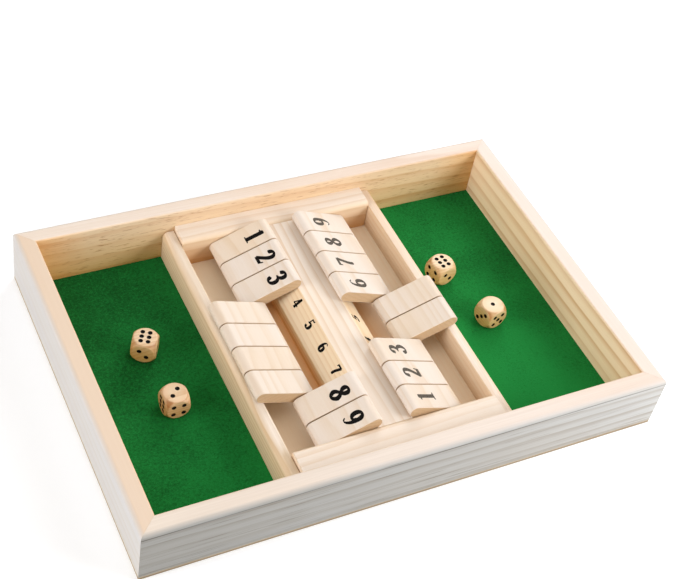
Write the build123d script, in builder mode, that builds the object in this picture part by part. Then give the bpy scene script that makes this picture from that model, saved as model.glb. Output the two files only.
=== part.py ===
from build123d import *

import os
from math import asin, atan2, cos, degrees, hypot, radians, sin

# Shut the box game for two sides: an open pine tray with a green felted dice tray at each end,
# a raised channel across the middle, and two rows of nine number tiles that flip over on rods.
#
# X runs along the long side of the box, Y away from the near side, Z up. The origin is the middle
# of the underside. Sizes are in millimetres.

os.makedirs("parts", exist_ok=True)

# the box
box_length = 350.0
box_width = 244.0
box_height = 42.0
wall_thickness = 12.0
wall_outer_round = 3.0
wall_inner_round = 1.2
base_thickness = 2.5
felt_thickness = 0.8

# the boards that make the channel across the middle
channel_board_thickness = 4.5
divider_thickness = 8.0
divider_height = 23.5
divider_outer_round = 4.0
divider_inner_round = 0.6
divider_end_gap = 0.3

# the cleats at the ends of the channel, which carry the rods
cleat_height = 22.8
back_cleat_depth = 16.0
front_cleat_depth = 23.0
cleat_top_round = 3.0
cleat_side_gap = 0.4

# the bar between the two rows, which holds up the tiles that are still in play
bar_height = 21.3
bar_top_width = 22.6
bar_slope_run = 12.1
bar_slope_drop = 11.3

# the tiles and their rods
tiles_in_row = 9
tile_length = 43.0
tile_thickness = 8.8
tile_gap = 0.5
tile_pivot_inset = 8.0
tile_over_bar = 4.1
tile_over_divider = 7.7
tile_stop_gap = 0.15
rod_radius = 1.5
rod_running_gap = 0.06
rod_height = 14.0
rod_seat_depth = 10.0

# the dice
die_size = 16.0
die_flat_radius = 7.3
die_cuts = 3

# which tiles lie flipped over, as a game leaves them, and where the dice came to rest:
# side of the box, place from the middle of that dice tray, and turn in degrees
left_shut = (4, 5, 6, 7)
right_shut = (4, 5)
dice_places = [
    ("left", 3.2, 31.5, -30.0),
    ("left", 5.2, -16.3, 0.0),
    ("right", -20.9, 34.7, 11.0),
    ("right", -6.6, -11.7, 11.0),
]

# places that follow from the sizes above
wall_height = box_height - base_thickness
inner_length = box_length - 2 * wall_thickness
inner_width = box_width - 2 * wall_thickness
felt_top = base_thickness + felt_thickness
channel_floor = base_thickness + channel_board_thickness
free_reach = tile_length - tile_pivot_inset
rod_x = bar_top_width / 2 + free_reach - tile_over_bar
rod_z = channel_floor + rod_height
channel_half = rod_x + free_reach - tile_over_divider
divider_outer_face = channel_half + divider_thickness
divider_top = base_thickness + divider_height
bar_top = channel_floor + bar_height
row_back = inner_width / 2 - back_cleat_depth
row_front = -inner_width / 2 + front_cleat_depth
row_length = row_back - row_front
tile_pitch = row_length / tiles_in_row
tile_width = tile_pitch - tile_gap
tray_middle = (divider_outer_face + inner_length / 2) / 2
die_ball_radius = hypot(die_size / 2, die_flat_radius)
die_flat_angle = atan2(die_size / 2, die_flat_radius)


def tilt_onto(stop_run, stop_rise):
    """Angle at which a tile's underside clears a stop that lies so far from the rod."""
    half_depth = tile_thickness / 2 + tile_stop_gap
    return degrees(atan2(stop_rise, stop_run) + asin(half_depth / hypot(stop_run, stop_rise)))


tilt_open = tilt_onto(rod_x - bar_top_width / 2, bar_top - rod_z)
tilt_shut = tilt_onto(channel_half - rod_x, divider_top - rod_z)


def save(piece, name):
    piece.label = name
    export_step(piece, f"parts/{name}.step")


# base board and the sheets of felt glued to it in the dice trays
with BuildPart() as base_board:
    with BuildSketch():
        Rectangle(box_length, box_width)
    extrude(amount=base_thickness)
save(base_board.part, "base_board")

felt_width = inner_length / 2 - divider_outer_face
for side_name, side in (("left", -1), ("right", 1)):
    with BuildPart() as felt:
        with BuildSketch(Plane.XY.offset(base_thickness)):
            with Locations((side * tray_middle, 0)):
                Rectangle(felt_width, inner_width)
        extrude(amount=felt_thickness)
    save(felt.part, f"{side_name}_felt")


# the four walls, mitred at the corners, with a rounded edge inside and out
def make_wall(turn, run, reach):
    """Wall whose outer face is reach from the middle, turned about Z from the near side."""
    along = (cos(radians(turn)), sin(radians(turn)), 0)
    inward = (-sin(radians(turn)), cos(radians(turn)), 0)
    foot = (-inward[0] * reach, -inward[1] * reach, base_thickness)
    across = Plane(origin=foot, x_dir=inward, z_dir=along)
    level = Plane(origin=foot, x_dir=along, z_dir=(0, 0, 1))
    with BuildPart() as wall:
        with BuildSketch(across) as section:
            Rectangle(wall_thickness, wall_height, align=(Align.MIN, Align.MIN))
            top_corners = section.vertices().group_by(Axis.Y)[-1].sort_by(Axis.X)
            fillet(top_corners[0], radius=wall_outer_round)
            fillet(top_corners[-1], radius=wall_inner_round)
        extrude(amount=run / 2, both=True)
        with BuildSketch(level):
            Polygon(
                (-run / 2, 0),
                (run / 2, 0),
                (run / 2 - wall_thickness, wall_thickness),
                (-run / 2 + wall_thickness, wall_thickness),
                align=None,
            )
        extrude(amount=wall_height, mode=Mode.INTERSECT)
    return wall.part


wall_places = [
    ("front_wall", 0, box_length, box_width / 2),
    ("right_wall", 90, box_width, box_length / 2),
    ("back_wall", 180, box_length, box_width / 2),
    ("left_wall", 270, box_width, box_length / 2),
]
for wall_name, turn, run, reach in wall_places:
    save(make_wall(turn, run, reach), wall_name)

# the board that raises the floor of the channel, and the divider on each side of it
with BuildPart() as channel_board:
    with BuildSketch(Plane.XY.offset(base_thickness)):
        Rectangle(2 * channel_half, inner_width)
    extrude(amount=channel_board_thickness)
save(channel_board.part, "channel_board")

divider_length = inner_width - 2 * divider_end_gap
for side_name, side in (("left", -1), ("right", 1)):
    with BuildPart() as divider:
        with BuildSketch(Plane.XZ) as section:
            with Locations((side * (channel_half + divider_thickness / 2), base_thickness)):
                Rectangle(divider_thickness, divider_height, align=(Align.CENTER, Align.MIN))
            top_corners = section.vertices().group_by(Axis.Y)[-1].sort_by(Axis.X)
            outer_corner = top_corners[0] if side < 0 else top_corners[-1]
            inner_corner = top_corners[-1] if side < 0 else top_corners[0]
            fillet(outer_corner, radius=divider_outer_round)
            fillet(inner_corner, radius=divider_inner_round)
        extrude(amount=divider_length / 2, both=True)
    save(divider.part, f"{side_name}_divider")


# the cleats: blocks across the ends of the channel, each bored for the ends of both rods
def make_cleat(row_face, wall_face):
    """Cleat between a wall and the row of tiles, its long top edge by the tiles rounded."""
    depth = abs(wall_face - row_face)
    into_cleat = 1 if wall_face > row_face else -1
    with BuildPart() as cleat:
        with BuildSketch(Plane.YZ) as section:
            with Locations(((row_face + wall_face) / 2, channel_floor)):
                Rectangle(depth, cleat_height, align=(Align.CENTER, Align.MIN))
            top_corners = section.vertices().group_by(Axis.Y)[-1].sort_by(Axis.X)
            fillet(top_corners[0] if into_cleat > 0 else top_corners[-1], radius=cleat_top_round)
        extrude(amount=channel_half - cleat_side_gap, both=True)
        with BuildSketch(Plane(origin=(0, row_face, rod_z), x_dir=(1, 0, 0), z_dir=(0, into_cleat, 0))):
            with Locations((-rod_x, 0), (rod_x, 0)):
                Circle(rod_radius)
        extrude(amount=rod_seat_depth, mode=Mode.SUBTRACT)
    return cleat.part


save(make_cleat(row_back, inner_width / 2), "back_cleat")
save(make_cleat(row_front, -inner_width / 2), "front_cleat")

# the bar between the rows: flat on top, a sloping face down to each row, plain sides below
with BuildPart() as centre_bar:
    with BuildSketch(Plane(origin=(0, row_front, channel_floor), x_dir=(1, 0, 0), z_dir=(0, -1, 0))):
        half_top = bar_top_width / 2
        half_foot = half_top + bar_slope_run
        Polygon(
            (-half_foot, 0),
            (half_foot, 0),
            (half_foot, bar_height - bar_slope_drop),
            (half_top, bar_height),
            (-half_top, bar_height),
            (-half_foot, bar_height - bar_slope_drop),
            align=None,
        )
    extrude(amount=-row_length)
save(centre_bar.part, "centre_bar")


# the rods, seated in both cleats, and the tiles that turn on them
def make_tile(side, towards_bar, place):
    """Tile at a place counted from the back of the row, lying on the bar or on the divider.

    Both ends are full rounds. The plane lies in the tile's front face with its origin on the rod.
    """
    tilt = radians(tilt_open if towards_bar else tilt_shut)
    heading = -side if towards_bar else side
    front_face = row_back - tile_pitch * place + tile_gap / 2
    lengthwise = (heading * cos(tilt), 0, sin(tilt))
    with BuildPart() as tile:
        with BuildSketch(Plane(origin=(side * rod_x, front_face, rod_z), x_dir=lengthwise, z_dir=(0, 1, 0))):
            with Locations((tile_length / 2 - tile_pivot_inset, 0)):
                SlotOverall(tile_length, tile_thickness)
            Circle(rod_radius + rod_running_gap, mode=Mode.SUBTRACT)
        extrude(amount=tile_width)
    return tile.part


for side_name, side, shut in (("left", -1, left_shut), ("right", 1, right_shut)):
    rod_start = row_front - rod_seat_depth
    with BuildPart() as rod:
        with BuildSketch(Plane(origin=(side * rod_x, rod_start, rod_z), z_dir=(0, 1, 0))):
            Circle(rod_radius)
        extrude(amount=row_length + 2 * rod_seat_depth)
    save(rod.part, f"{side_name}_rod")

    for number in range(1, tiles_in_row + 1):
        # each player reads their own row from left to right, so the rows count opposite ways
        place = number if side < 0 else tiles_in_row + 1 - number
        tile_part = make_tile(side, number not in shut, place)
        save(tile_part, f"{side_name}_tile_{number}")

# the dice on the felt: cubes with their corners turned off to a ball, in a few straight cuts
cut_angles = [die_flat_angle * (2 * cut / die_cuts - 1) for cut in range(die_cuts + 1)]
ball_profile = [(die_ball_radius * cos(angle), die_ball_radius * sin(angle)) for angle in cut_angles]
for count, (side_name, along, away, turn) in enumerate(dice_places, start=1):
    side = -1 if side_name == "left" else 1
    die_centre = (side * tray_middle + along, away, felt_top + die_size / 2)
    lengthways = (cos(radians(turn)), sin(radians(turn)), 0)
    crossways = (-sin(radians(turn)), cos(radians(turn)), 0)
    with BuildPart() as die:
        with BuildSketch(Plane(origin=die_centre, x_dir=lengthways, z_dir=(0, 0, 1)).offset(-die_size / 2)):
            Rectangle(die_size, die_size)
        extrude(amount=die_size)
        with BuildSketch(Plane(origin=die_centre, x_dir=crossways, z_dir=lengthways)):
            Polygon((0, -die_size / 2), *ball_profile, (0, die_size / 2), align=None)
        revolve(axis=Axis(die_centre, (0, 0, 1)), mode=Mode.INTERSECT)
    save(die.part, f"die_{count}")

print(f"rods {rod_x:.2f} from the middle, {rod_z:.2f} up; dividers {channel_half:.2f} from the middle")
print(f"tiles {tile_width:.2f} wide, tilt {tilt_open:.2f} in play and {tilt_shut:.2f} shut")
print(f"a tile flips through {180 - tilt_open - tilt_shut:.2f} degrees")
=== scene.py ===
import math

import bpy
import numpy as np
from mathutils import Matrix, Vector
from mathutils.geometry import delaunay_2d_cdt


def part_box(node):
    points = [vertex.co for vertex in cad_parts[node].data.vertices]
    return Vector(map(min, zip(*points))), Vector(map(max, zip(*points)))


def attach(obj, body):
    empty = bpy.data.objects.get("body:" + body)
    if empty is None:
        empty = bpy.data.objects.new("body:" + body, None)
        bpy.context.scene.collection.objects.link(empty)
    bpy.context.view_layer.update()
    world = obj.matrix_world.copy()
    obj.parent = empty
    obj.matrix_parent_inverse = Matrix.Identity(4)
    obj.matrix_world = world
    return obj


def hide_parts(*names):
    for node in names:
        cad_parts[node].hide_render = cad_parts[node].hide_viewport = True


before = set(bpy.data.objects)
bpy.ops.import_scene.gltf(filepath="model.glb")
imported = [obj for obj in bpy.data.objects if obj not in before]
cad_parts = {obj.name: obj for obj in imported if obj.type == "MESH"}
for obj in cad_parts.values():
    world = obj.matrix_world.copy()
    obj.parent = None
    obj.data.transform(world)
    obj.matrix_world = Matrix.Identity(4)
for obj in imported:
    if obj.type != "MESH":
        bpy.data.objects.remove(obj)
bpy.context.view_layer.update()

mm = 0.001
print("frame loaded:", len(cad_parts), "nodes")


# ---- shader maths

class Wire:
    # One output of a node. Arithmetic on it adds Math nodes to the same tree.
    def __init__(self, tree, socket):
        self.tree = tree
        self.socket = socket

    def node(self, kind, settings=None, inputs=None, output=0):
        made = self.tree.nodes.new(kind)
        for key, value in (settings or {}).items():
            if key == "stops":
                setStops(made.color_ramp.elements, value)
            else:
                setattr(made, key, value)
        for key, value in (inputs or {}).items():
            if isinstance(value, Wire):
                self.tree.links.new(value.socket, made.inputs[key])
            else:
                made.inputs[key].default_value = value
        return Wire(self.tree, made.outputs[output])

    def math(self, operation, *values, clamp=False):
        settings = {"operation": operation, "use_clamp": clamp}
        return self.node("ShaderNodeMath", settings, dict(enumerate(values)))

    def vector(self, operation, *values, output=0):
        return self.node("ShaderNodeVectorMath", {"operation": operation}, dict(enumerate(values)), output)

    def mix(self, first, second, blend="MIX"):
        # colours, with this wire as the factor
        settings = {"data_type": "RGBA", "blend_type": blend, "clamp_factor": True}
        return self.node("ShaderNodeMix", settings, {0: self, 6: first, 7: second}, 2)

    def ramp(self, *stops):
        return self.node("ShaderNodeValToRGB", {"stops": stops}, {0: self})

    def noise(self, detail=2.0, roughness=0.5, scale=1.0, distortion=0.0):
        inputs = {"Scale": scale, "Detail": detail, "Roughness": roughness, "Distortion": distortion}
        return self.node("ShaderNodeTexNoise", {"noise_dimensions": "3D"}, {"Vector": self, **inputs})

    def axis(self, number):
        # one coordinate of a vector: 0, 1 or 2
        return self.node("ShaderNodeSeparateXYZ", None, {0: self}, number)

    def share(self, name):
        # a surface's own attribute, from 0 to 1
        return self.node("ShaderNodeAttribute", {"attribute_name": name}, output=2)

    def __add__(self, other): return self.math("ADD", self, other)
    def __radd__(self, other): return self.math("ADD", other, self)
    def __sub__(self, other): return self.math("SUBTRACT", self, other)
    def __rsub__(self, other): return self.math("SUBTRACT", other, self)
    def __mul__(self, other): return self.math("MULTIPLY", self, other)
    def __rmul__(self, other): return self.math("MULTIPLY", other, self)
    def __truediv__(self, other): return self.math("DIVIDE", self, other)
    def __rtruediv__(self, other): return self.math("DIVIDE", other, self)


def setStops(elements, stops):
    # stops are (place, level or colour); a new ramp has two
    while len(elements) < len(stops):
        elements.new(0.5)
    for element, (place, colour) in zip(elements, stops):
        element.position = place
        element.color = colour if isinstance(colour, tuple) else (colour, colour, colour, 1)


def paint(red, green, blue):
    # a colour picked on screen, 0 to 255, as the linear colour that the shader wants
    def linear(level):
        level /= 255
        return level / 12.92 if level <= 0.04045 else ((level + 0.055) / 1.055) ** 2.4
    return (linear(red), linear(green), linear(blue), 1)


def startMaterial(name, constants=None):
    # a material with its Principled shader and a wire to hang the pattern on
    material = bpy.data.materials.new(name)
    material.use_nodes = True
    tree = material.node_tree
    shader = tree.nodes["Principled BSDF"]
    for key, value in (constants or {}).items():
        shader.inputs[key].default_value = value
    return material, shader, Wire(tree, None)


def feed(shader, wire, socket):
    wire.tree.links.new(wire.socket, shader.inputs[socket])


def placed(wire, shift=(0, 0, 0), turn=(0, 0, 0)):
    # Object coordinates in millimetres, turned and shifted by a Mapping node
    place = wire.node("ShaderNodeTexCoord", output=3)
    turned = tuple(math.radians(angle) for angle in turn)
    return wire.node("ShaderNodeMapping", {"vector_type": "POINT"},
                     {"Vector": place, "Location": shift, "Rotation": turned, "Scale": (1000, 1000, 1000)})


def bumped(shader, height, strength, distance):
    inputs = {"Strength": strength, "Distance": distance, "Height": height}
    feed(shader, height.node("ShaderNodeBump", None, inputs), "Normal")


# ---- wood

pine = {
    # colours as on screen, 0 to 255
    "early": (234, 225, 217), "late": (208, 177, 139), "heart": (227, 202, 172),
    "fleckColour": None, "lineColour": (92, 84, 72),
    "ringWidth": 3.4, "pith": (0.0, 38.0, 61.0), "middle": (0, 0), "ringWobble": 5.0, "ringRipple": 0.5,
    "ringShow": 0.62, "streakShow": 0.10, "fleckShow": 0.22, "heartShow": 0.35,
    "roughness": 0.52, "bump": 0.35, "tints": {}, "calm": 0.0, "edgeLine": None, "corner": None,
    "ringProfile": ((0.0, 0.35), (0.07, 0.0), (0.5, 0.1), (0.86, 0.8), (0.95, 1.0), (1.0, 0.35)),
    # noise scales along and across the grain, per millimetre
    "driftGrain": (0.0035, 0.018), "rippleGrain": (0.012, 0.12), "fadeGrain": (0.004, 0.05),
    "streakGrain": (0.014, 0.9), "fleckGrain": (0.09, 2.6), "patchGrain": (0.006, 0.025),
}
grainTurns = {"x": (0, 0, 0), "y": (0, 0, 90)}


def woodMaterial(name, grain, seed, **changes):
    # Growth rings are cylinders round a pith line beside the board, which runs along the grain:
    # level = fraction(distance from the pith / ring width), bent by noise drawn out along the grain.
    look = {**pine, **changes}
    early, late, heart = (paint(*look[key]) for key in ("early", "late", "heart"))
    fleckColour = paint(*look["fleckColour"]) if look["fleckColour"] else late
    material, shader, wire = startMaterial(name, {"IOR": 1.45})
    draw = np.random.default_rng(seed)
    turn = np.array(grainTurns[grain]) + draw.uniform(-1.3, 1.3, 3)
    pith = np.array(look["pith"]) * draw.uniform(0.8, 1.2, 3) + (draw.uniform(-400, 400), 0, 0)
    grainPlace = placed(wire, tuple(pith - (0, *look["middle"])), turn)

    def drawnOut(key, **settings):
        along, across = look[key]
        return grainPlace.vector("MULTIPLY", grainPlace, (along, across, across)).noise(**settings)

    drift = drawnOut("driftGrain", detail=2.0)
    ripple = drawnOut("rippleGrain", detail=3.0)
    away = grainPlace.vector("MULTIPLY", grainPlace, (0, 1, 1))
    wobble = look["ringWobble"]
    bent = away.vector("LENGTH", away, output=1) + (drift - 0.5) * (4 * wobble)
    turns = (bent + (ripple - 0.5) * wobble * look["ringRipple"]) / look["ringWidth"]
    ring = turns.math("FRACT", turns).ramp(*look["ringProfile"])
    fade = drawnOut("fadeGrain", detail=1.0).ramp((0.3, 0.35), (0.7, 1.0))
    streak = drawnOut("streakGrain", detail=4.0, roughness=0.6)
    fleck = drawnOut("fleckGrain", detail=2.0).ramp((0.6, 0.0), (0.72, 1.0))
    patch = drawnOut("patchGrain", detail=1.0).ramp((0.35, 0.0), (0.75, 1.0))
    if look["calm"]:
        top = wire.share("top")
        ring = ring * (1 - top * look["calm"])
        fleck = fleck * (1 - top)

    ground = (patch * look["heartShow"]).mix(early, heart)
    ringed = (ring * fade * look["ringShow"]).mix(ground, late)
    show = look["streakShow"]
    streaked = ((streak - 0.5) * 2 * show + show * 0.5).mix(ringed, late)
    colour = (fleck * look["fleckShow"]).mix(streaked, fleckColour)
    if look["edgeLine"]:
        # a thin dark line at one height of the face that the attribute marks
        height, halfWidth, darkness, marked = look["edgeLine"]
        up = placed(wire).axis(2)
        near = 1 - up.math("ABSOLUTE", up - (ripple - 0.5) * 0.8 - height) / halfWidth
        line = near.math("MAXIMUM", near, 0.0) * (streak * 1.6) * wire.share(marked) * darkness
        colour = line.mix(colour, paint(*look["lineColour"]))
    if look["corner"]:
        # painted shade: warmer and darker towards a place on both sides of the middle, on the face that
        # the attribute marks
        start, reach, tint, marked = look["corner"]
        sideways = placed(wire).axis(0)
        near = 1 - (sideways.math("ABSOLUTE", sideways) - start) / reach
        near = near.math("MAXIMUM", near, 0.0, clamp=True)
        colour = (near * wire.share(marked) if marked else near).mix(colour, tint, "MULTIPLY")
    for attribute, tint in look["tints"].items():
        colour = wire.share(attribute).mix(colour, tint, "MULTIPLY")
    feed(shader, colour, "Base Color")
    feed(shader, look["roughness"] + (streak - 0.5) * 0.25, "Roughness")
    bumped(shader, streak * 0.7 + ring * 0.3, look["bump"], 0.00012)
    return material


# ---- felt, ink, steel, plywood

felt = {
    "pale": paint(24, 134, 60), "deep": paint(4, 78, 28), "glint": paint(58, 160, 84), "glintShow": 0.35,
    "mottle": 0.45, "clump": 0.8, "fibre": 0.9, "evenLevel": 1.11, "slant": 0.0014, "curve": 6e-6,
    "bump": 0.6,
}


def feltMaterial(name, seed, level, aside, middle):
    # pressed wool: short fibres every way in small clumps, with broad soft mottling
    material, shader, wire = startMaterial(name, {
        "Roughness": 0.95, "Sheen Weight": 0.03, "Sheen Roughness": 0.6, "Specular IOR Level": 0.08})
    place = placed(wire, (seed * 37.0, seed * 11.0, 0))
    mottle = place.noise(detail=2.0, scale=0.03)
    clump = place.noise(detail=3.0, roughness=0.7, scale=0.55)
    fibre = place.vector("MULTIPLY", place, (1.0, 2.2, 1.0))
    fibre = fibre.noise(detail=2.0, roughness=0.7, scale=1.1, distortion=1.0)
    wool = mottle * felt["mottle"] + clump * felt["clump"] + fibre * felt["fibre"]
    # painted light and shade: one end and one side of the sheet lighter, and the level sets how light the
    # whole sheet is
    plain = placed(wire)
    right, back = plain.axis(0), plain.axis(1)
    paintedShading = back * back * felt["curve"] - back * felt["slant"] - (right - middle) * aside
    shade = wool + (level - felt["evenLevel"]) + paintedShading
    cloth = shade.ramp((0.25, felt["deep"]), (0.75, felt["pale"]))
    glint = fibre.ramp((0.6, 0.0), (0.72, 1.0)) * felt["glintShow"]
    feed(shader, glint.mix(cloth, felt["glint"]), "Base Color")
    bumped(shader, clump * 0.6 + fibre * 0.4, felt["bump"], 0.0003)
    return material


def inkMaterial(name, dark, pale, scale=1.3):
    # printed ink: near black, a little thin where the grain shows through
    material, shader, wire = startMaterial(name, {"Specular IOR Level": 0.06})
    thin = placed(wire).noise(detail=3.0, scale=scale)
    feed(shader, thin.ramp((0.3, dark), (0.8, pale)), "Base Color")
    feed(shader, 0.5 + thin * 0.2, "Roughness")
    return material


def steelMaterial(name):
    # drawn wire: fine scratches along its length
    material, shader, wire = startMaterial(name)
    place = placed(wire)
    scratch = place.vector("MULTIPLY", place, (8, 0.05, 8)).noise(detail=3.0)
    feed(shader, scratch.ramp((0.2, paint(150, 150, 152)), (0.8, paint(205, 205, 204))), "Base Color")
    feed(shader, 0.9 + scratch * 0.1, "Metallic")
    feed(shader, 0.28 + scratch * 0.2, "Roughness")
    return material


def plywoodMaterial(name, thickness):
    # three veneers: the middle one shows darker end grain on the edges
    material, shader, wire = startMaterial(name)
    place = placed(wire)
    ply = (place.axis(2) / thickness).ramp((0.0, 0.0), (0.3, 0.0), (0.36, 1.0), (0.64, 1.0), (0.7, 0.0))
    streak = place.vector("MULTIPLY", place, (0.02, 0.7, 0.7)).noise(detail=4.0, roughness=0.6)
    face = streak.ramp((0.3, paint(204, 190, 166)), (0.7, paint(180, 164, 138)))
    core = streak.ramp((0.3, paint(156, 138, 112)), (0.7, paint(132, 114, 90)))
    feed(shader, ply.mix(face, core), "Base Color")
    feed(shader, 0.6 + streak * 0.2, "Roughness")
    bumped(shader, streak, 0.4, 0.0001)
    return material


# ---- surfaces

def addPiece(name, points, faces, materials, body, replaces=(), sharp=32, faceSlots=None,
             shares=None):
    # points in millimetres; everything is a closed surface with its faces outwards
    mesh = bpy.data.meshes.new(name)
    mesh.from_pydata((np.asarray(points) * mm).tolist(), [], [list(face) for face in faces])
    for material in materials:
        mesh.materials.append(material)
    if faceSlots is not None:
        mesh.polygons.foreach_set("material_index", np.asarray(faceSlots, dtype=np.int32))
    mesh.polygons.foreach_set("use_smooth", np.ones(len(mesh.polygons), dtype=bool))
    mesh.set_sharp_from_angle(angle=math.radians(sharp))
    mesh.validate()
    for key, values in (shares or {}).items():
        attribute = mesh.attributes.new(key, "FLOAT", "POINT")
        attribute.data.foreach_set("value", np.asarray(values, dtype=np.float32))
    piece = bpy.data.objects.new(name, mesh)
    bpy.context.scene.collection.objects.link(piece)
    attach(piece, body)
    if replaces:
        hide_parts(*replaces)
    return piece


def gridFaces(rows, columns, rowsClose=False, columnsClose=True):
    # quads between the points (row, column) of a grid numbered row by row
    row, column = np.meshgrid(np.arange(rows - (not rowsClose)),
                              np.arange(columns - (not columnsClose)), indexing="ij")
    number = lambda r, c: (r % rows) * columns + c % columns
    corners = ((row, column), (row, column + 1), (row + 1, column + 1), (row + 1, column))
    return np.stack([number(*corner) for corner in corners], -1).reshape(-1, 4)


def circle(steps=24):
    angles = np.linspace(0, 2 * math.pi, steps, endpoint=False)
    return np.stack([np.cos(angles), np.sin(angles)], -1)


def cappedFaces(rows, columns):
    # a skin of quads between rings of points, with one many-sided face over each end
    last = (rows - 1) * columns
    ends = [list(range(columns))[::-1], list(range(last, last + columns))]
    return gridFaces(rows, columns).tolist() + ends


def roundedSection(corners, steps=6, support=0.25):
    # A polygon with its corners replaced by arcs, anticlockwise, as points and outward normals.
    # A point just before and just after each arc keeps the flats flat under smooth shading.
    points, normals = [], []
    for index, (x, y, radius) in enumerate(corners):
        corner = np.array([x, y])
        before = np.array(corners[index - 1][:2]) - corner
        after = np.array(corners[(index + 1) % len(corners)][:2]) - corner
        before /= np.linalg.norm(before)
        after /= np.linalg.norm(after)
        half = math.acos(np.clip(before @ after, -1, 1)) / 2
        reach = radius / math.tan(half)
        towards = (before + after) / np.linalg.norm(before + after)
        middle = corner + towards * radius / math.sin(half)
        first = corner + before * reach - middle
        last = corner + after * reach - middle
        start = math.atan2(first[1], first[0])
        sweep = (math.atan2(last[1], last[0]) - start) % (2 * math.pi)
        angles = start + sweep * np.linspace(0, 1, steps + 1)
        rim = np.stack([np.cos(angles), np.sin(angles)], -1)
        points += [middle + first + before * support, *(middle + rim * radius),
                   middle + last + after * support]
        normals += [rim[0], *rim, rim[-1]]
    return np.array(points), np.array(normals)


def blockSection(near, far, low, high, nearRound, farRound, footRound, steps=6):
    # the rounded section of a plain block, whichever way its far face lies from its near one
    corners = [(near, low, footRound), (far, low, footRound),
               (far, high, farRound), (near, high, nearRound)]
    return roundedSection(corners if far > near else corners[::-1], steps)


def easedBar(section, halfLength, ease, place, mitre=0.0, support=0.3):
    # A section carried along a straight path: x = s (half length - mitre * depth), the section drawn
    # in by ease (1 - sin a) over the last of it, so that both ends are softly broken edges.
    points, normals = section
    angles = np.linspace(0, math.pi / 2, 4)
    inset = np.append(ease * (1 - np.sin(angles)), 0)
    pulled = np.append(ease * (1 - np.cos(angles)), ease + support)
    side = np.repeat([-1.0, 1.0], len(inset))
    inset, pulled = (np.concatenate([end, end[::-1]]) for end in (inset, pulled))
    drawn = points[None] - normals[None] * inset[:, None, None]
    run = halfLength - mitre * drawn[:, :, 0]
    along = side[:, None] * (run - pulled[:, None])
    solid = place(along, drawn[..., 0], drawn[..., 1]).reshape(-1, 3)
    # how far each point's surface looks along the section's first axis, against it, and up
    facing, upward = (np.tile(normals[:, axis], len(inset)) for axis in (0, 1))
    shares = {"inner": facing, "outer": -facing, "top": upward}
    shares = {name: np.clip(share, 0, 1) for name, share in shares.items()}
    return solid, cappedFaces(len(inset), len(points)), shares


def turnedOutwards(points, faces):
    # faces are turned round where the solid's signed volume comes out negative
    points = np.asarray(points)
    volume = 0.0
    for face in faces:
        corner = points[face[0]]
        for second, third in zip(face[1:-1], face[2:]):
            volume += corner @ np.cross(points[second], points[third])
    return faces if volume > 0 else [list(face)[::-1] for face in faces]


def addPine(node, ending, bar, grain, seed, **look):
    # a pine bar that stands in for its CAD node
    points, faces, shares = bar
    wood = woodMaterial(node + "_pine", grain, seed, **look)
    addPiece(node + ending, points, turnedOutwards(points, faces), [wood], "tray", [node],
             shares=shares)


def size(node):
    low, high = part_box(node)
    return np.array(low) / mm, np.array(high) / mm


def dress(name, material):
    # a CAD mesh keeps its shape and only gets a material
    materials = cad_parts[name].data.materials
    materials.clear()
    materials.append(material)


def alongY(along, x, z):
    return np.stack([x, along, z], -1)


# ---- the box

wall = {
    "outerRound": 3.0, "innerRound": 1.2, "footRound": 0.3, "mitreEase": 0.16, "lowFade": 0.3,
    # innerTint is painted warm bounce light on the inner faces; outerTint is painted cool shade on the
    # outer faces
    "innerTint": (1.09, 0.97, 0.78, 1), "outerTint": paint(231, 243, 255),
    # lowTint, farTint and brightTint are painted shade low on the inner face, painted light to the right
    # of the outer face, and painted shade on the top to the right
    "lowTint": (0.98, 0.95, 0.88, 1), "farTint": (1, 1, 1, 1), "brightTint": (0.9, 0.87, 0.88, 1),
    "calm": 0.5, "calmOutside": ("right_wall", "back_wall"), "ringRipple": 1.2,
}
baseLow, baseHigh = size("base_board")
boxHalf = baseHigh[:2]
baseTop = baseHigh[2]
boxTop = size("front_wall")[1][2]
wallThickness = boxHalf[0] - size("right_felt")[1][0]

# turn in degrees, way of the grain, seed, and what differs from the common pine and from the painted light
# and shade tints
wallSides = {
    "front_wall": (0, "x", 11, {
        "ringShow": 0.8, "ringWidth": 8.2, "ringWobble": 4, "pith": (0, 18, 70),
        "late": (178, 158, 136), "streakShow": 0.22,
        "fleckShow": 0.6, "fleckGrain": (0.02, 1.2), "fleckColour": (140, 122, 100),
        "outerTint": (0.53, 0.61, 0.68, 1), "farTint": (1.42, 1.38, 1.36, 1),
        "edgeLine": (boxTop - 3.6, 0.7, 0.9, "outer")}),
    "right_wall": (90, "y", 23, {
        "ringShow": 0.8, "ringWidth": 10.5, "ringWobble": 2.5, "pith": (0, 12, 66),
        "late": (190, 148, 98), "innerTint": (1.16, 1.04, 0.84, 1)}),
    "back_wall": (180, "x", 31, {
        "ringShow": 0.7, "ringWidth": 11.0, "pith": (0, 20, 60), "late": (194, 148, 94),
        "heart": (226, 192, 150), "heartShow": 0.4, "streakShow": 0.2,
        "fleckShow": 0.7, "fleckGrain": (0.12, 1.5), "fleckColour": (158, 108, 60),
        # painted warm shade towards the inner face's corners
        "corner": (163.0, -34.0, (1.0, 0.8, 0.56, 1), "inner"), "lowTint": (0.80, 0.68, 0.36, 1)}),
    "left_wall": (270, "y", 47, {
        "ringShow": 0.35, "ringWidth": 9.0, "pith": (0, 16, 70), "early": (225, 206, 188),
        "outerTint": (0.78, 0.94, 1.17, 1)}),
}
wallSection = blockSection(0, wallThickness, baseTop, boxTop,
                           wall["outerRound"], wall["innerRound"], wall["footRound"])


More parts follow.
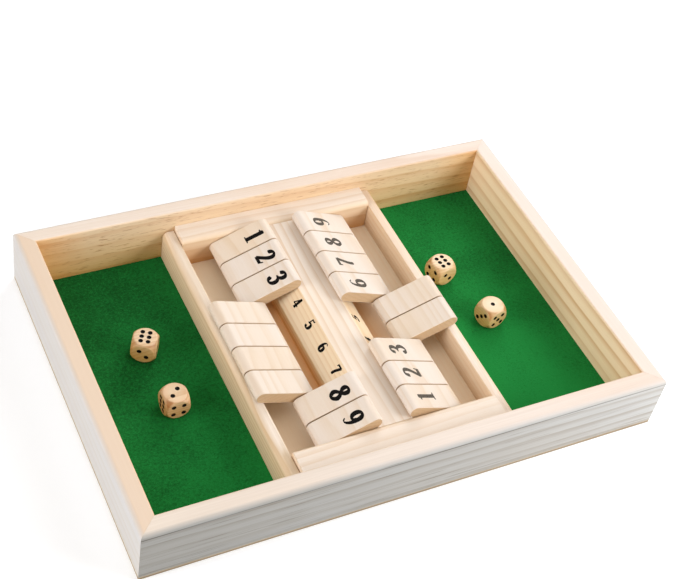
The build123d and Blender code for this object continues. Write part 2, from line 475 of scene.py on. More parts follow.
def makeWall(name, turn, grain, seed, changes):
    cosTurn, sinTurn = math.cos(math.radians(turn)), math.sin(math.radians(turn))
    halfRun, reach = boxHalf if grain == "x" else boxHalf[::-1]

    def wallPlace(along, depth, up):
        # depth counts inwards from the outer face, which stands reach from the middle
        inward = depth - reach
        return np.stack([along * cosTurn - inward * sinTurn, along * sinTurn + inward * cosTurn, up], -1)

    points, faces, shares = easedBar(wallSection, halfRun, wall["mitreEase"], wallPlace, mitre=1.0)
    # painted shade low down on the inner face, more so to the left; painted light to the right on the
    # outer face, and painted shade against the stronger light to the right on the top
    rightward = points[:, 0] / (2 * boxHalf[0]) + 0.5
    lowDown = points[:, 2] < (baseTop + boxTop) / 2
    shares["low"] = shares["inner"] * lowDown * (1 - wall["lowFade"] * rightward)
    shares["far"] = shares["outer"] * rightward ** 2
    shares["bright"] = shares["top"] * rightward ** 3
    if name in wall["calmOutside"]:
        shares["top"] = np.maximum(shares["top"], shares["outer"])
    tints = {key: changes.pop(key + "Tint", wall[key + "Tint"])
             for key in ("inner", "outer", "low", "far", "bright")}
    across = points[:, 1 if grain == "x" else 0].mean()
    addPine(name, "_board", (points, faces, shares), grain, seed, tints=tints, calm=wall["calm"],
            middle=(across, 0), ringRipple=wall["ringRipple"], **changes)


for name, look in wallSides.items():
    makeWall(name, *look)

base = {"round": 0.3, "ease": 0.3}
section = blockSection(baseLow[0], baseHigh[0], baseLow[2], baseTop, *[base["round"]] * 3, steps=3)
points, faces, _ = easedBar(section, boxHalf[1], base["ease"], alongY)
addPiece("base_plywood", points, turnedOutwards(points, faces),
         [plywoodMaterial("base_ply", baseTop)], "tray", ["base_board"])
print("box done")


# ---- felt sheets

feltShape = {"waves": 24, "waveLengths": (5, 26), "hills": 0.12, "sunk": 0.06, "rimReach": 3,
             "rimDrop": 0.12, "rimFall": 0.6, "lowest": -0.3}
# seed, level of the whole sheet's painted shade, and how much darker the painted shade makes it to the
# right per millimetre
feltLooks = {"left_felt": (1, 0.51, -0.0011), "right_felt": (4, 0.71, 0.0024)}


def feltSheet(name, seed, level, aside):
    # A closed slab whose top lies under the CAD's by smooth random hills, and a little more at its rim.
    low, high = size(name)
    columns, rows = int(round(high[0] - low[0])), int(round(high[1] - low[1]))
    x, y = np.meshgrid(np.linspace(low[0], high[0], columns), np.linspace(low[1], high[1], rows))
    draw = np.random.default_rng(seed)
    fullTurn = 2 * math.pi
    hills = np.zeros_like(x)
    for wave in range(feltShape["waves"]):
        heading = draw.uniform(0, fullTurn)
        length = draw.uniform(*feltShape["waveLengths"])
        start = draw.uniform(0, fullTurn)
        hills += np.sin((x * math.cos(heading) + y * math.sin(heading)) * fullTurn / length + start)
    rim = np.minimum(np.minimum(x - low[0], high[0] - x), np.minimum(y - low[1], high[1] - y))
    hills = hills / feltShape["waves"] * feltShape["hills"] * np.clip(rim / feltShape["rimReach"], 0, 1)
    hills = hills - feltShape["sunk"] - feltShape["rimDrop"] * np.exp(-rim / feltShape["rimFall"])
    top = np.stack([x, y, high[2] + np.clip(hills, feltShape["lowest"], 0)], -1).reshape(-1, 3)
    bottom = np.stack([x, y, np.full_like(x, low[2])], -1).reshape(-1, 3)
    count = len(top)
    faces = gridFaces(rows, columns, False, False)
    under = faces[:, ::-1] + count
    border = np.concatenate([
        np.arange(columns), np.arange(2, rows) * columns - 1,
        rows * columns - 1 - np.arange(columns), (rows - 2 - np.arange(rows - 2)) * columns])
    ahead = np.roll(border, -1)
    sides = np.stack([border, border + count, ahead + count, ahead], -1)
    wool = feltMaterial(name + "_wool", seed, level, aside, (low[0] + high[0]) / 2)
    piece = addPiece(name + "_sheet", np.concatenate([top, bottom]),
                     np.concatenate([faces, under, sides]).tolist(),
                     [wool], "tray", [name], sharp=50)
    width, length = (high[0] - low[0]) * mm, (high[1] - low[1]) * mm


for name, look in feltLooks.items():
    feltSheet(name, *look)
print("felt done")


# ---- the channel: dividers, cleats, centre bar, floor and rods

channel = {
    "dividerOuterRound": 4.0, "dividerInnerRound": 0.6, "dividerEase": 0.35, "footRound": 0.2,
    "cleatNearRound": 3.0, "cleatFarRound": 0.4, "cleatEase": 0.4,
    "barEdge": 0.5, "barSlopeRun": 12.1, "barSlopeDrop": 11.3, "barEase": 0.15,
    # sideTint is painted warm bounce light on the upright faces of dividers and cleats; deepTint is
    # painted shade on the cleats' faces below deepBelow
    "sideTint": (1.04, 0.94, 0.78, 1), "deepTint": (0.86, 0.6, 0.36, 1), "deepBelow": 4,
    # barTint is painted warm shade on the bar's slopes; barFootTint is darker painted shade at its foot
    "barTint": (1.08, 0.95, 0.68, 1), "barFootTint": (0.92, 0.64, 0.36, 1),
    # footLine is the dark joint at the dividers' feet together with a painted contact shadow; cornerTint
    # is painted shade on the floor beside the bar's foot
    "footLine": (92, 50, 26), "cornerTint": (1.0, 0.7, 0.42, 1), "cornerReach": 24.0,
}
sideTints = {"inner": channel["sideTint"], "outer": channel["sideTint"]}
boardTop = size("channel_board")[1][2]


def makeDivider(name, side, seed, ringShow, late):
    low, high = size(name)
    inner, outer = (high[0], low[0]) if side < 0 else (low[0], high[0])
    section = blockSection(inner, outer, low[2], high[2], channel["dividerInnerRound"],
                           channel["dividerOuterRound"], channel["footRound"], steps=8)
    bar = easedBar(section, (high[1] - low[1]) / 2, channel["dividerEase"], alongY)
    # the dark line along the inner face just above the floor is the joint with the floor and a painted
    # contact shadow
    addPine(name, "_board", bar, "y", seed, ringWidth=3.4, ringShow=ringShow, streakShow=0.3,
            late=late, pith=(0, 8, 52), middle=((low[0] + high[0]) / 2, 0), tints=sideTints,
            edgeLine=(boardTop + 0.2, 0.8, 1.2, "inner"), lineColour=channel["footLine"])


def makeCleat(name, towards, seed):
    low, high = size(name)
    near, far = (low[1], high[1]) if towards < 0 else (high[1], low[1])
    section = blockSection(near, far, low[2], high[2], channel["cleatNearRound"],
                           channel["cleatFarRound"], channel["footRound"], steps=8)
    points, faces, shares = easedBar(section, high[0], channel["cleatEase"],
                                     lambda along, y, z: np.stack([along, y, z], -1))
    # painted shade on the lower part of the cleat's faces
    shares["deep"] = (shares["inner"] + shares["outer"]) * (points[:, 2] < high[2] - channel["deepBelow"])
    addPine(name, "_block", (points, faces, shares), "x", seed, ringWidth=5.0, ringShow=0.45,
            heartShow=0.25, tints={**sideTints, "deep": channel["deepTint"]})


makeDivider("left_divider", -1, 53, 0.8, (196, 168, 124))
makeDivider("right_divider", 1, 61, 0.45, (206, 164, 112))
makeCleat("back_cleat", -1, 71)
makeCleat("front_cleat", 1, 79)

barLow, barHigh = size("centre_bar")
barHalfFoot = barHigh[0]
barHalfTop = barHalfFoot - channel["barSlopeRun"]
barKnee = barHigh[2] - channel["barSlopeDrop"]
barMiddle = (barLow[1] + barHigh[1]) / 2
edge = channel["barEdge"]
section = roundedSection([
    (-barHalfFoot, barLow[2], channel["footRound"]), (barHalfFoot, barLow[2], channel["footRound"]),
    (barHalfFoot, barKnee, edge), (barHalfTop, barHigh[2], edge),
    (-barHalfTop, barHigh[2], edge), (-barHalfFoot, barKnee, edge)], steps=4)
points, faces, shares = easedBar(section, (barHigh[1] - barLow[1]) / 2, channel["barEase"],
                                 lambda along, x, z: alongY(along + barMiddle, x, z))
# painted shade: the foot below the knee, and the slopes, take warm darker tints
shares["foot"] = points[:, 2] < barKnee - 1
tints = {"inner": channel["barTint"], "outer": channel["barTint"], "foot": channel["barFootTint"]}
addPine("centre_bar", "_moulding", (points, faces, shares), "y", 83, ringWidth=2.8, ringShow=0.75,
        ringWobble=2.0, pith=(0, 40, 60), tints=tints)

# the floor gets painted shade, warmer and darker beside the bar's foot where the tiles shade it
dress("channel_board", woodMaterial(
    "channel_floor_pine", "y", 89, ringShow=0.3, heartShow=0.6,
    corner=(barHalfFoot, channel["cornerReach"], channel["cornerTint"], None),
    early=(255, 244, 226), late=(246, 216, 180), heart=(255, 234, 206)))
rodSteel = steelMaterial("rod_steel")
dress("left_rod", rodSteel)
dress("right_rod", rodSteel)
print("channel done")


# ---- tiles

# boreAngles: the flats' points as seen from the rod, in degrees
tile = {"radius": 4.4, "reach": 35.0, "inset": 8.0, "bore": 1.56, "ease": 0.5, "support": 0.25,
        "lead": 0.3, "sideSlack": 0.18, "boreAngles": (18, 26, 38, 55, 75, 95, 113),
        "shut": {-1: (4, 5, 6, 7), 1: (4, 5)}, "warmth": (0.1, 0.55)}
tileFlats = {"ringShow": 0.45, "ringWidth": 4.6, "streakShow": 0.1, "fleckShow": 0.15, "roughness": 0.46,
             "early": (226, 217, 210), "late": (204, 175, 135), "heart": (222, 199, 168)}
tileEnds = {"ringShow": 0.35, "streakShow": 0.2, "roughness": 0.62,
            "early": (206, 180, 147), "late": (176, 143, 106), "heart": (195, 163, 125)}
rowNames = {-1: "left", 1: "right"}
numbers = range(1, 10)


def tileName(side, number):
    return f"{rowNames[side]}_tile_{number}"


def tileFrame(side, number):
    # the tile at rest, worked out from its box: middle of its rod line, way along it, and width
    low, high = size(tileName(side, number))
    heading = side if number in tile["shut"][side] else -side
    rodLow, rodHigh = size(rowNames[side] + "_rod")
    pivot = (rodLow + rodHigh) / 2
    farMiddle = (high[0] - tile["radius"]) if heading > 0 else (low[0] + tile["radius"])
    tilt = math.acos((farMiddle - pivot[0]) * heading / (tile["reach"] - tile["radius"]))
    lengthwise = np.array([heading * math.cos(tilt), 0, math.sin(tilt)])
    pivot[1] = (low[1] + high[1]) / 2
    return pivot, lengthwise, high[1] - low[1] - 2 * tile["sideSlack"]


def tileOutline(radius):
    # full-round section of the tile about its rod: far arc, back face, near arc, printed face
    far, near = tile["reach"] - tile["radius"], tile["radius"] - tile["inset"]
    arc = np.linspace(-math.pi / 2, math.pi / 2, 17)
    straight = tile["radius"] / np.tan(np.radians(tile["boreAngles"]))
    farArc = np.stack([far + radius * np.cos(arc), radius * np.sin(arc)], -1)
    nearArc = np.stack([near - radius * np.cos(arc), -radius * np.sin(arc)], -1)
    above = np.stack([straight, np.full_like(straight, radius)], -1)
    below = np.stack([straight[::-1], np.full_like(straight, -radius)], -1)
    farLead = np.array([[far - tile["lead"], radius]])
    nearLead = np.array([[near + tile["lead"], radius]])
    flip = np.array([1, -1])
    return np.concatenate([farArc, farLead, above, nearLead,
                           nearArc, nearLead * flip, below, farLead * flip])


def tileSurface(width):
    # A closed ring: bore, side cap, eased edge, full-round outline, and back on the other side.
    # The cap joins each point of the outline to the bore's point at the same angle about the rod.
    ease, support = tile["ease"], tile["support"]
    outline = tileOutline(tile["radius"])
    around = np.arctan2(outline[:, 1], outline[:, 0])
    bore = np.stack([np.cos(around), np.sin(around)], -1) * tile["bore"]
    rings = [bore, tileOutline(tile["radius"] - support - ease)]
    places = [width / 2, width / 2]
    for angle in np.linspace(0, math.pi / 2, 4):
        rings.append(tileOutline(tile["radius"] - ease * (1 - math.sin(angle))))
        places.append(width / 2 - ease * (1 - math.cos(angle)))
    rings.append(outline)
    places.append(width / 2 - ease - support)
    return np.array(rings + rings[::-1]), np.array(places + [-place for place in places[::-1]])


def makeTile(side, number):
    pivot, lengthwise, width = tileFrame(side, number)
    name = tileName(side, number)
    sideways = np.array([0, 1.0, 0])
    across = np.cross(lengthwise, sideways)
    rings, places = tileSurface(width)
    points = (pivot + rings[..., :1] * lengthwise + rings[..., 1:] * across
              + places[:, None, None] * sideways).reshape(-1, 3)
    faces = gridFaces(len(rings), rings.shape[1], rowsClose=True).tolist()
    endRows = {0, 1, len(rings) - 3, len(rings) - 2}
    faceSlots = [1 if index // rings.shape[1] in endRows else 0 for index in range(len(faces))]
    seed = 100 + number + (20 if side > 0 else 0)
    warmth = float(np.random.default_rng(seed).uniform(*tile["warmth"]))
    woods = [woodMaterial(name + "_pine", "y", seed, heartShow=warmth, **tileFlats),
             woodMaterial(name + "_end_grain", "y", seed, **tileEnds)]
    addPiece(name + "_block", points, turnedOutwards(points, faces), woods, name, [name],
             sharp=36, faceSlots=faceSlots)


for side in rowNames:
    for number in numbers:
        makeTile(side, number)
print("tiles done")


# ---- numbers: pen strokes drawn with an oval nib, in hundredths, in a box 60 wide and 100 high

inkBlack = inkMaterial("number_ink", paint(6, 5, 5), paint(18, 15, 14))
# the right row's paler grey ink is partly worn print and partly painted sheen, the light those tilted
# tiles catch
inkWornAndSheen = inkMaterial("worn_and_sheen_number_ink", paint(26, 24, 22), paint(134, 126, 116), 2.6)
broad = (9.5, 3.2)
digitStrokes = {
    1: [("line", broad, [(31, 96), (31, 4)]),
        ("block", 0, [(10, 0), (52, 0), (52, 5), (40, 9), (22, 9), (10, 5)]),
        ("block", 0, [(10, 83), (24, 80), (40, 99), (34, 100), (24, 93), (10, 88)])],
    2: [("curve", broad, [(13, 74), (17, 88), (30, 96.5), (45, 88), (48, 72), (41, 52), (27, 31),
                          (13, 12)]),
        ("ball", 7.5, (16, 76.5)),
        ("block", 0, [(5, 0), (50, 0), (57, 26), (51, 26), (46, 16), (20, 17), (5, 7)])],
    3: [("curve", broad, [(12, 79), (18, 92), (30, 96.5), (42, 89), (44, 74), (38, 61), (25, 54)]),
        ("ball", 7.5, (15, 80)),
        ("curve", broad, [(25, 54), (40, 49), (48, 32), (43, 13), (28, 3.5), (15, 9), (11, 20)]),
        ("ball", 8, (14, 19))],
    4: [("line", broad, [(39, 96), (39, 4)]),
        ("line", (4.5, 3), [(37, 94), (7, 29)]),
        ("line", (4, 4), [(6, 28), (56, 28)]),
        ("block", 0, [(24, 0), (54, 0), (54, 5), (24, 5)])],
    5: [("block", 0, [(15, 86), (46, 86), (52, 100), (47, 100), (42, 98), (15, 98)]),
        ("line", (3.5, 3), [(17, 95), (13.5, 53)]),
        ("curve", broad, [(14, 53), (28, 60), (42, 53), (47.5, 33), (42, 12), (28, 3.5), (14, 8),
                          (11, 18)]),
        ("ball", 8, (14, 18))],
    6: [("tail", broad, [(48, 86), (38, 95.5), (26, 90), (15.5, 70), (12, 42), (15.5, 16), (30, 3.5),
                         (44, 13), (48, 32), (43, 51), (30, 58.5), (18, 50), (13, 38)])],
    7: [("block", 0, [(6, 100), (6, 76), (11, 76), (15, 85), (56, 85), (56, 100)]),
        ("curve", (8.5, 3), [(50, 88), (38, 60), (29, 36), (25, 16), (25, 4)])],
    8: [("ring", (9.5, 3), [(30, 96.5), (16, 87), (17, 70), (30, 56), (44, 42), (48, 23), (30, 3.5),
                            (12, 21), (15, 39), (30, 53), (42, 67), (44, 86)])],
}
digitBox = np.array([60, 100]) / 100


def flowing(points, closed, steps=10):
    # Catmull-Rom curve through the points: each span is a cubic set by its neighbours
    count = len(points)
    if closed:
        padded = np.concatenate([points[-1:], points, points[:2]])
        spans = count
    else:
        padded = np.concatenate([2 * points[:1] - points[1:2], points, 2 * points[-1:] - points[-2:-1]])
        spans = count - 1
    t = np.linspace(0, 1, steps, endpoint=False)[None, :, None]
    a, b, c, d = (padded[k:k + spans, None] for k in range(4))
    square, cube = 2 * a - 5 * b + 4 * c - d, 3 * b - a - 3 * c + d
    curve = (0.5 * (2 * b + (c - a) * t + square * t ** 2 + cube * t ** 3)).reshape(-1, 2)
    return curve if closed else np.concatenate([curve, points[-1:]])


def strokeShapes(kind, nib, points):
    # The edge of an oval nib drawn along a line lies at (a a nx, b b ny) / |(a nx, b ny)| from it.
    line = flowing(points, kind == "ring") if kind != "line" else points
    if kind == "ring":
        line = np.concatenate([line, line[:1]])
        ahead = np.roll(line[:-1], -1, 0) - np.roll(line[:-1], 1, 0)
        ahead = np.concatenate([ahead, ahead[:1]])
    else:
        ahead = np.gradient(line, axis=0)
    normal = np.stack([-ahead[:, 1], ahead[:, 0]], -1)
    # a tail starts thin and swells over the first part of the line
    swell = np.interp(np.linspace(0, 1, len(line)), [0, 0.4], [0.35 if kind == "tail" else 1, 1])
    half = nib * swell[:, None]
    offset = normal * half ** 2 / np.linalg.norm(normal * half, axis=1, keepdims=True)
    left, right = line + offset, line - offset
    shapes = [np.array(corners) for i in range(len(line) - 1)
              for corners in ((left[i], right[i], right[i + 1]), (left[i], right[i + 1], left[i + 1]))]
    return shapes + [line[end] + circle() * half[end] for end in (0, -1)]


def covered(places, shapes):
    # crossing test: inside is where a line to the right crosses the outline an odd number of times
    inside = np.zeros(len(places), dtype=bool)
    x, y = places[:, :1], places[:, 1:]
    for start in shapes:
        end = np.roll(start, -1, 0)
        rise = end[:, 1] - start[:, 1]
        rise = np.where(np.abs(rise) < 1e-12, 1e-12, rise)
        crossing = start[:, 0] + (y - start[:, 1]) / rise * (end[:, 0] - start[:, 0])
        hits = ((start[:, 1] > y) != (end[:, 1] > y)) & (x < crossing)
        inside |= hits.sum(1) % 2 == 1
    return inside


def digitShape(number, weight):
    # the union of a digit's strokes as triangles, kept where a stroke covers them
    if number == 9:
        points, triangles = digitShape(6, weight)
        return digitBox - points, triangles
    shapes = []
    for kind, nib, line in digitStrokes[number]:
        nib, line = np.array(nib) / 100, np.array(line) / 100
        if kind == "block":
            shapes.append(line)
        elif kind == "ball":
            shapes.append(line + circle() * (nib / (printLook["tileStretch"], 1)))
        else:
            shapes += strokeShapes(kind, nib * (weight, weight * 2 - 1), line)
    corners, outlines = [], []
    for ring in shapes:
        area = np.sum(ring[:, 0] * np.roll(ring[:, 1], -1) - ring[:, 1] * np.roll(ring[:, 0], -1)) / 2
        if abs(area) < 1e-6:
            continue
        ring = ring if area > 0 else ring[::-1]
        outlines.append(list(range(len(corners), len(corners) + len(ring))))
        corners += [Vector(map(float, corner)) for corner in ring]
    found = delaunay_2d_cdt(corners, [], outlines, 0, 1e-4, False)
    points = np.array([tuple(point) for point in found[0]])
    triangles = np.array(found[2])
    triangles = triangles[covered(points[triangles].mean(1), shapes)]
    used, renumbered = np.unique(triangles, return_inverse=True)
    return points[used], renumbered.reshape(-1, 3)


printLook = {
    "proud": 0.035, "sunk": 0.05,
    "tileHeight": 13.4, "tileStretch": 1.04, "tileWeight": {-1: 1.22, 1: 1.1},
    "barHeight": 7.6, "barStretch": 1.15, "barWeight": 1.4, "thinBarWeight": {4: 1.22},
}
tileDigits = {side: {number: digitShape(number, printLook["tileWeight"][side]) for number in numbers}
              for side in rowNames}
barDigits = {number: digitShape(number, printLook["thinBarWeight"].get(number, printLook["barWeight"]))
             for number in numbers}


def printedDigit(digit, middle, rightwards, upwards, height, stretch):
    # A digit as a thin closed slab: its top just proud of the wood and its underside just below.
    flat, triangles = digit
    flat = (flat - digitBox / 2) * (height * stretch, height)
    normal = np.cross(rightwards, upwards)
    face = middle + flat[:, :1] * rightwards + flat[:, 1:] * upwards
    count = len(flat)
    corner = flat[triangles]
    spin = np.cross(corner[:, 1] - corner[:, 0], corner[:, 2] - corner[:, 0])
    triangles = np.where(spin[:, None] > 0, triangles, triangles[:, ::-1])
    edges = np.concatenate([triangles[:, [0, 1]], triangles[:, [1, 2]], triangles[:, [2, 0]]])
    known = set(map(tuple, edges.tolist()))
    rim = np.array([pair for pair in edges.tolist() if (pair[1], pair[0]) not in known])
    sides = np.stack([rim[:, 1], rim[:, 0], rim[:, 0] + count, rim[:, 1] + count], -1)
    points = np.concatenate([face + normal * printLook["proud"], face - normal * printLook["sunk"]])
    return points, triangles.tolist() + (triangles[:, ::-1] + count).tolist() + sides.tolist()


def joined(parts):
    points, faces, offset = [], [], 0
    for partPoints, partFaces in parts:
        points.append(partPoints)
        faces += [[number + offset for number in face] for face in partFaces]
        offset += len(partPoints)
    return np.concatenate(points), faces


rowPrint = {-1: {"along": 22.3, "drift": -0.3, "shift": 1.3},
            1: {"along": 17.9, "drift": 0.28, "shift": -0.4}}
barPrint = {"downSlope": 5.7, "shift": {-1: 1.8, 1: 1.9}}
slopeLength = math.hypot(channel["barSlopeRun"], channel["barSlopeDrop"])
for side in rowNames:
    barParts = []
    ink = inkBlack if side < 0 else inkWornAndSheen
    printed = rowPrint[side]
    rightwards = np.array([0, float(side), 0])
    upSlope = np.array([-side * channel["barSlopeRun"], 0, channel["barSlopeDrop"]]) / slopeLength
    for number in numbers:
        pivot, lengthwise, _ = tileFrame(side, number)
        place = number if side < 0 else len(numbers) + 1 - number
        normal = np.cross(rightwards, lengthwise)
        along = printed["along"] + printed["drift"] * (place - 1)
        middle = pivot + lengthwise * along + normal * tile["radius"] + rightwards * printed["shift"]
        points, faces = printedDigit(tileDigits[side][number], middle, rightwards, lengthwise,
                                     printLook["tileHeight"], printLook["tileStretch"])
        name = tileName(side, number)
        addPiece(name + "_number", points, faces, [ink], name, sharp=20)
        crest = np.array([side * barHalfTop, pivot[1], barHigh[2]])
        middle = crest - upSlope * barPrint["downSlope"] - rightwards * barPrint["shift"][side]
        barParts.append(printedDigit(barDigits[number], middle, rightwards, upSlope,
                                     printLook["barHeight"], printLook["barStretch"]))
    points, faces = joined(barParts)
    addPiece(rowNames[side] + "_bar_numbers", points, faces, [inkBlack], "tray", sharp=20)
print("numbers done")


# ---- dice

die = {"half": 8.0, "ball": 10.83, "blend": 0.28, "cells": 60, "pipRadius": 1.5, "pipDepth": 0.45,
       "pipLift": 0.02, "pipThickness": 0.08, "dimple": 1.75, "edgeTint": (0.68, 0.48, 0.32, 1),
       "sideGain": 1.9, "sideStart": 0.75, "lowGain": 0.25, "edgeGain": 1.2,
       "patchWaves": 6, "patchPace": 0.9, "patchGain": 1.6}
pipSpread = {"corner": 3.3, "two": 2.3, "three": 3.2, "six": (2.35, 3.8)}
dieWood = {"early": (234, 214, 188), "late": (196, 152, 98), "heart": (224, 198, 150),
           "ringShow": 0.6, "ringWidth": 2.2, "roughness": 0.4, "pith": (0, 14, 20)}
# turn in degrees; number and lean of the pips on three faces; seed; painted shade tint of the upright
# faces
dieLooks = {
    "die_1": (-30.0, {"+z": (6, 1), "-y": (2, -1), "-x": (4, 1)}, 211, (1.0, 0.74, 0.33, 1)),
    "die_2": (0.0, {"+z": (2, 1), "-y": (4, 1), "-x": (6, 1)}, 223, (1.0, 0.66, 0.38, 1)),
    "die_3": (11.0, {"+z": (6, 1), "-x": (4, 1), "-y": (2, -1)}, 227, (1.0, 0.76, 0.38, 1)),
    "die_4": (11.0, {"+z": (1, 1), "-x": (3, 1), "-y": (5, 1)}, 229, (1.0, 0.78, 0.42, 1)),
}
faceAxes = {"+z": ((1, 0, 0), (0, 1, 0)), "-z": ((1, 0, 0), (0, -1, 0)), "-y": ((1, 0, 0), (0, 0, 1)),
            "+y": ((-1, 0, 0), (0, 0, 1)), "-x": ((0, -1, 0), (0, 0, 1)), "+x": ((0, 1, 0), (0, 0, 1))}
opposite = {"+z": "-z", "-y": "+y", "-x": "+x"}


def pipPlaces(number, lean):
    # the usual layouts; lean says which way the pips of a two or three run across the face
    centre = [(0, 0)] if number % 2 else []
    if number in (2, 3):
        spread = pipSpread["two" if number == 2 else "three"]
        return [(-spread, -spread * lean), (spread, spread * lean)] + centre
    if number == 6:
        wide, high = pipSpread["six"]
        return [(a * wide, b * high) for a in (-1, 1) for b in (-1, 0, 1)]
    spread = pipSpread["corner"]
    corners = [(a * spread, b * spread) for a in (-1, 1) for b in (-1, 1)]
    return (corners if number > 1 else []) + centre


def dieSurface(pips):
    # Points along each direction d of a cube's grid: r = smooth minimum of half / max|d| and the
    # ball's radius, then pressed in by the pips' cosine dimples where a flat has them.
    cells = die["cells"]
    across = np.tan(np.linspace(-1, 1, cells + 1) * math.pi / 4)
    a, b = np.meshgrid(across, across, indexing="ij")
    points, faces = [], []
    for key, (right, up) in faceAxes.items():
        right, up = np.array(right, float), np.array(up, float)
        out = np.cross(right, up)
        direction = a[..., None] * right + b[..., None] * up + out
        direction /= np.linalg.norm(direction, axis=-1, keepdims=True)
        flat = die["half"] / np.abs(direction).max(-1)
        gap = die["ball"] - flat
        radius = (flat + die["ball"] - np.sqrt(gap ** 2 + die["blend"] ** 2)) / 2
        # the blend keeps the flats a hair under the cube, so they are let out to it again
        radius = np.minimum(radius + die["blend"] ** 2 / (4 * np.maximum(np.abs(gap), die["blend"])), flat)
        surface = direction * radius[..., None]
        u, v = surface @ right, surface @ up
        press = np.zeros_like(u)
        for pipU, pipV in pips[key]:
            away = np.hypot(u - pipU, v - pipV)
            press += np.where(away < die["dimple"], np.cos(away / die["dimple"] * math.pi / 2) ** 2, 0)
        surface = surface - press[..., None] * die["pipDepth"] * out
        faces.append(gridFaces(cells + 1, cells + 1, False, False) + sum(len(part) for part in points))
        points.append(surface.reshape(-1, 3))
    points, faces = np.concatenate(points), np.concatenate(faces)
    _, kept, renumbered = np.unique(np.round(points, 4), axis=0, return_index=True, return_inverse=True)
    return points[kept], renumbered.reshape(-1)[faces]


def pipDisc(right, up, place):
    # A black lens that lines the dimple: rings at depth = pip depth cos^2, and again as its back.
    out = np.cross(right, up)
    radii = np.linspace(0.12, 1, 7) * die["pipRadius"]
    depth = die["pipDepth"] * np.cos(radii / die["dimple"] * math.pi / 2) ** 2
    spread = np.array(place) + radii[:, None, None] * circle(28)
    front = (spread[..., :1] * right + spread[..., 1:] * up
             + (die["half"] - depth + die["pipLift"])[:, None, None] * out)
    rings = np.concatenate([front, front[::-1] - die["pipThickness"] * out])
    points = rings.reshape(-1, 3)
    return points, turnedOutwards(points - points.mean(0), cappedFaces(*rings.shape[:2]))


def makeDie(name, turn, shown, seed, sideTint):
    low, high = size(name)
    middle = (low + high) / 2
    cosTurn, sinTurn = math.cos(math.radians(turn)), math.sin(math.radians(turn))
    spin = np.array([[cosTurn, sinTurn, 0], [-sinTurn, cosTurn, 0], [0, 0, 1]])
    pips = {}
    for key, (number, lean) in shown.items():
        pips[key] = pipPlaces(number, lean)
        pips[opposite[key]] = pipPlaces(7 - number, lean)
    points, faces = dieSurface(pips)
    tints = {"side": sideTint, "edge": die["edgeTint"]}
    wood = woodMaterial(name + "_wood", "x", seed, tints=tints, **dieWood)
    # painted shade: how far each point lies out towards the cube's upright faces, and more so low down
    outwards = np.hypot(points[:, 0], points[:, 1]) / np.linalg.norm(points, axis=1)
    side = np.clip(outwards * die["sideGain"] - die["sideStart"], 0, 1)
    side = side * (1 - die["lowGain"] - die["lowGain"] * points[:, 2] / die["half"])
    # and how far it lies on a rounded edge, in patches
    draw = np.random.default_rng(seed)
    count = die["patchWaves"]
    waves = draw.uniform(-die["patchPace"], die["patchPace"], (count, 3))
    patches = np.sin(points @ waves.T + draw.uniform(0, 6, count)).sum(1) / count
    edge = np.clip((die["half"] - np.abs(points).max(1)) * die["edgeGain"], 0, 1)
    edge = edge * np.clip(0.5 + patches * die["patchGain"], 0, 1)
    addPiece(name + "_cube", middle + points @ spin, turnedOutwards(points, faces.tolist()), [wood],
             name, [name], sharp=180, shares={"side": side, "edge": edge})
    axes = {key: np.array(pair, float) for key, pair in faceAxes.items()}
    discs = [pipDisc(*axes[key], place) for key, places in pips.items() for place in places]
    points, faces = joined(discs)
    addPiece(name + "_pips", middle + points @ spin, faces, [inkBlack], name, sharp=60)


for name, look in dieLooks.items():
    makeDie(name, *look)
print("dice done")


# ---- studio

studio = {
    "skyLevel": 0.32, "skyColour": (1.0, 0.81, 0.6, 1), "floorDim": (0.62, 0.63, 0.65, 1),
    "paper": (0.799, 0.833, 0.884, 1), "floorGlow": 0.3, "floorReach": 4000, "floorClear": (0.25, 0.75),
}
# place, width and power
lamps = {
    "leftLow": ((-1.22, -0.1, 0.445), 0.8, 10.8),
    "leftHigh": ((-0.836, -0.1, 0.996), 0.9, 1.4),
    "right": ((0.6, 0.1, 0.72), 0.75, 1.4),
    "backRight": ((0.6, 0.7, 0.6), 0.6, 4.7),
    "frontRight": ((0.62, -0.6, 0.4), 0.5, 6.5),
    "above": ((0.0, 0.0, 1.3), 1.0, 1.2),
}


def seenDirectly(wire, *rays):
    # 1 where the camera, or one of the other kinds of ray that are named, meets the surface
    path = seen = wire.node("ShaderNodeLightPath")
    for ray in rays:
        seen = seen.math("MAXIMUM", seen, Wire(wire.tree, path.socket.node.outputs[ray]))
    return seen


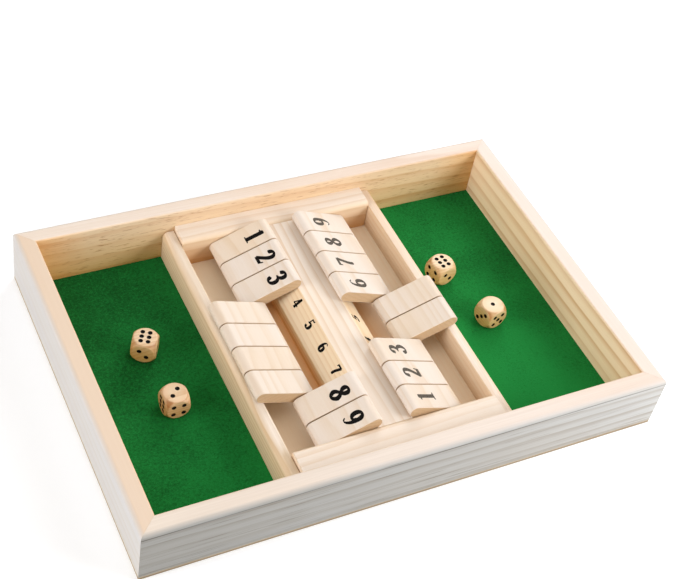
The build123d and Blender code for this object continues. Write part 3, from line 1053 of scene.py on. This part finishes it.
def studioFloor():
    # a wide disc of floor: rings spread as the square of the step, all at z = 0
    radii = np.linspace(0.02, 1, 12) ** 2 * studio["floorReach"]
    rings = radii[:, None, None] * circle(48)
    points = np.pad(rings.reshape(-1, 2), ((0, 0), (0, 1)))
    mesh = bpy.data.meshes.new("floor")
    faces = gridFaces(*rings.shape[:2]).tolist() + [list(range(rings.shape[1]))[::-1]]
    mesh.from_pydata((points * mm).tolist(), [], [face[::-1] for face in faces])
    floor = bpy.data.objects.new("floor", mesh)
    bpy.context.scene.collection.objects.link(floor)
    material, shader, wire = startMaterial("floor_paper", {
        "Roughness": 0.9, "Specular IOR Level": 0.0, "Emission Strength": 1.0})
    seen = seenDirectly(wire, "Is Glossy Ray")
    # plain white far from the object, and paper with its shadow close to it
    place = wire.node("ShaderNodeTexCoord", output=3)
    near, away = studio["floorClear"]
    far = place.vector("LENGTH", place, output=1).ramp((near, 0.0), (away, 1.0))
    glow = studio["floorGlow"]
    feed(shader, seen.mix(studio["floorDim"], far.mix(studio["paper"], (0, 0, 0, 1))), "Base Color")
    feed(shader, seen.mix((0, 0, 0, 1), far.mix((glow, glow, glow, 1), (1, 1, 1, 1))), "Emission Color")
    mesh.materials.append(material)


def studioSky():
    # warm light all round, plain white where the camera or a gloss sees it
    world = bpy.data.worlds.new("sky")
    bpy.context.scene.world = world
    world.use_nodes = True
    tree = world.node_tree
    ground = tree.nodes["Background"]
    seen = seenDirectly(Wire(tree, None), "Is Glossy Ray", "Is Transmission Ray")
    tree.links.new(seen.mix(studio["skyColour"], (1, 1, 1, 1)).socket, ground.inputs["Color"])
    level = studio["skyLevel"]
    tree.links.new((level + seen * (1 - level)).socket, ground.inputs["Strength"])


def studioLamp(name, place, width, power):
    # a round soft lamp that looks at the middle of the box
    lamp = bpy.data.lights.new(name, "AREA")
    lamp.shape = "DISK"
    lamp.size = width
    lamp.energy = power
    holder = bpy.data.objects.new(name, lamp)
    holder.location = place
    holder.rotation_euler = (-Vector(place)).to_track_quat("-Z", "Y").to_euler()
    bpy.context.scene.collection.objects.link(holder)


studioFloor()
studioSky()
for name, settings in lamps.items():
    studioLamp(name, *settings)

# fitted to the corners of the box as the photograph shows them
view = {"lens": 74.057, "place": (-0.33979, -0.51170, 0.68380), "turn": (43.8247, -8.1703, -25.0242)}
lens = bpy.data.cameras.new("camera")
lens.sensor_width = 36
lens.lens = view["lens"]
lens.clip_start = 0.01
camera = bpy.data.objects.new("camera", lens)
camera.location = view["place"]
camera.rotation_euler = tuple(math.radians(angle) for angle in view["turn"])
bpy.context.scene.collection.objects.link(camera)
bpy.context.scene.camera = camera
bpy.context.scene.view_settings.view_transform = "Standard"
print("studio done")
